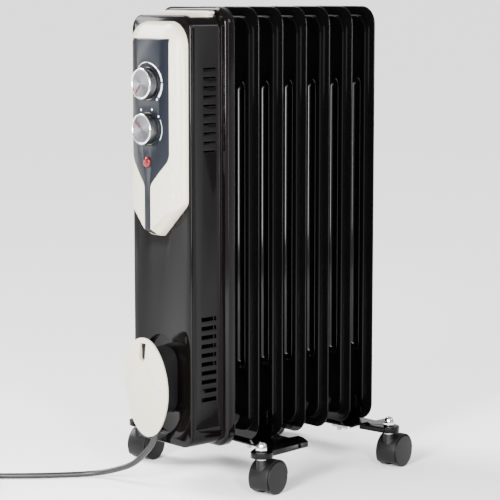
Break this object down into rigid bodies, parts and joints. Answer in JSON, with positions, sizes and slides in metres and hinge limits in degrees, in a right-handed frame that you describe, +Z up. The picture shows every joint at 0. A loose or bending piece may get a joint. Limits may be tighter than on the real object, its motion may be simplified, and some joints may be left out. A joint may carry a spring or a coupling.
{
  "type": "oil filled radiator heater",
  "caption": "Black oil filled radiator: pressed steel fins on twin-wheel casters, with a tall control box, cream bezel, turned knobs and an oval lead wrap.",
  "frame": {"origin": "on the floor, midway between the foremost knob face and the rearmost caster hood, on the stack's middle plane", "axes": "+X to the right seen from the control side, +Y from the controls back along the stack of fins, +Z up"},
  "size_m": [0.3387, 0.5698, 0.58],
  "materials": {
    "black_enamel": "high gloss baked enamel on pressed steel",
    "black_gloss_shell": "high gloss black shell",
    "cream_plastic": "satin gloss moulded cream plastic",
    "slate_panel": "satin slate blue-grey panel with white printed marks",
    "spun_aluminium": "face turned in fine circles, bright rim",
    "red_lens": "clear red lens",
    "black_plastic": "moulded black plastic",
    "steel": "zinc plated steel",
    "element_steel": "dull steel sheath",
    "chrome_plate": "bright plated",
    "lead_rubber": "satin dark grey flexible sheath",
    "nickel_pins": "nickel plated brass",
    "wire_insulation": "heat resistant wire insulation",
    "caster_plastic": "fine satin moulded nylon",
    "wheel_plastic": "fine satin moulded nylon"
  },
  "bodies": {
    "root": {"caster_dome_nuts": "chrome_plate", "caster_stems": "steel", "caster_washers": "chrome_plate", "clamp_wing_nuts": "steel", "control_bezel": "cream_plastic", "control_bracket": "steel", "control_panel": "slate_panel", "cord_coil": "lead_rubber", "cord_gland": "lead_rubber", "cord_plate": "cream_plastic", "cord_plate_screws": "steel", "cord_post": "black_plastic", "cover_screws": "steel", "element_flange": "steel", "fin_1": "black_enamel", "fin_2": "black_enamel", "fin_3": "black_enamel", "fin_4": "black_enamel", "fin_5": "black_enamel", "fin_6": "black_enamel", "fin_7": "black_enamel", "foot_clamps": "steel", "front_cover": "black_gloss_shell", "front_foot": "black_enamel", "handle_bar": "cream_plastic", "handle_cup": "black_plastic", "heating_element": "element_steel", "housing_shell": "black_gloss_shell", "lamp_holder": "black_plastic", "lamp_lens": "red_lens", "oil_filler_plug": "steel", "plug_body": "lead_rubber", "plug_pins": "nickel_pins", "power_cord": "lead_rubber", "rear_foot": "black_enamel", "selector_body": "black_plastic", "terminal_block": "black_plastic", "thermal_fuse": "steel", "thermostat_body": "black_plastic", "wiring_loom": "wire_insulation"},
    "thermostat": {"thermostat_knob": "spun_aluminium", "thermostat_shaft": "steel"},
    "selector": {"selector_knob": "spun_aluminium", "selector_shaft": "steel"},
    "front_left_swivel": {"front_left_hood": "caster_plastic", "front_left_axle": "steel"},
    "front_left_roller_1": {"front_left_wheel_1": "wheel_plastic"},
    "front_left_roller_2": {"front_left_wheel_2": "wheel_plastic"},
    "front_right_swivel": {"front_right_hood": "caster_plastic", "front_right_axle": "steel"},
    "front_right_roller_1": {"front_right_wheel_1": "wheel_plastic"},
    "front_right_roller_2": {"front_right_wheel_2": "wheel_plastic"},
    "rear_left_swivel": {"rear_left_hood": "caster_plastic", "rear_left_axle": "steel"},
    "rear_left_roller_1": {"rear_left_wheel_1": "wheel_plastic"},
    "rear_left_roller_2": {"rear_left_wheel_2": "wheel_plastic"},
    "rear_right_swivel": {"rear_right_hood": "caster_plastic", "rear_right_axle": "steel"},
    "rear_right_roller_1": {"rear_right_wheel_1": "wheel_plastic"},
    "rear_right_roller_2": {"rear_right_wheel_2": "wheel_plastic"}
  },
  "joints": [
    {"name": "thermostat_turn", "type": "hinge", "parent": "root", "child": "thermostat", "pos_m": [0, -0.16983, 0.49], "axis": [0, 1, 0], "range_deg": [0, 270]},
    {"name": "selector_turn", "type": "hinge", "parent": "root", "child": "selector", "pos_m": [0, -0.16983, 0.4363], "axis": [0, 1, 0], "range_deg": [0, 105]},
    {"name": "front_left_swivel_turn", "type": "hinge", "parent": "root", "child": "front_left_swivel", "pos_m": [-0.1184, -0.08243, 0.043], "axis": [0, 0, 1], "continuous": true},
    {"name": "front_left_wheel_1_spin", "type": "hinge", "parent": "front_left_swivel", "child": "front_left_roller_1", "pos_m": [-0.12141, -0.06937, 0.02], "axis": [0.9744, 0.225, 0], "continuous": true},
    {"name": "front_left_wheel_2_spin", "type": "hinge", "parent": "front_left_swivel", "child": "front_left_roller_2", "pos_m": [-0.12141, -0.06937, 0.02], "axis": [0.9744, 0.225, 0], "continuous": true},
    {"name": "front_right_swivel_turn", "type": "hinge", "parent": "root", "child": "front_right_swivel", "pos_m": [0.1184, -0.08243, 0.043], "axis": [0, 0, 1], "continuous": true},
    {"name": "front_right_wheel_1_spin", "type": "hinge", "parent": "front_right_swivel", "child": "front_right_roller_1", "pos_m": [0.11539, -0.06937, 0.02], "axis": [0.9744, 0.225, 0], "continuous": true},
    {"name": "front_right_wheel_2_spin", "type": "hinge", "parent": "front_right_swivel", "child": "front_right_roller_2", "pos_m": [0.11539, -0.06937, 0.02], "axis": [0.9744, 0.225, 0], "continuous": true},
    {"name": "rear_left_swivel_turn", "type": "hinge", "parent": "root", "child": "rear_left_swivel", "pos_m": [-0.1184, 0.13177, 0.043], "axis": [0, 0, 1], "continuous": true},
    {"name": "rear_left_wheel_1_spin", "type": "hinge", "parent": "rear_left_swivel", "child": "rear_left_roller_1", "pos_m": [-0.12141, 0.14483, 0.02], "axis": [0.9744, 0.225, 0], "continuous": true},
    {"name": "rear_left_wheel_2_spin", "type": "hinge", "parent": "rear_left_swivel", "child": "rear_left_roller_2", "pos_m": [-0.12141, 0.14483, 0.02], "axis": [0.9744, 0.225, 0], "continuous": true},
    {"name": "rear_right_swivel_turn", "type": "hinge", "parent": "root", "child": "rear_right_swivel", "pos_m": [0.1184, 0.13177, 0.043], "axis": [0, 0, 1], "continuous": true},
    {"name": "rear_right_wheel_1_spin", "type": "hinge", "parent": "rear_right_swivel", "child": "rear_right_roller_1", "pos_m": [0.11539, 0.14483, 0.02], "axis": [0.9744, 0.225, 0], "continuous": true},
    {"name": "rear_right_wheel_2_spin", "type": "hinge", "parent": "rear_right_swivel", "child": "rear_right_roller_2", "pos_m": [0.11539, 0.14483, 0.02], "axis": [0.9744, 0.225, 0], "continuous": true}
  ]
}
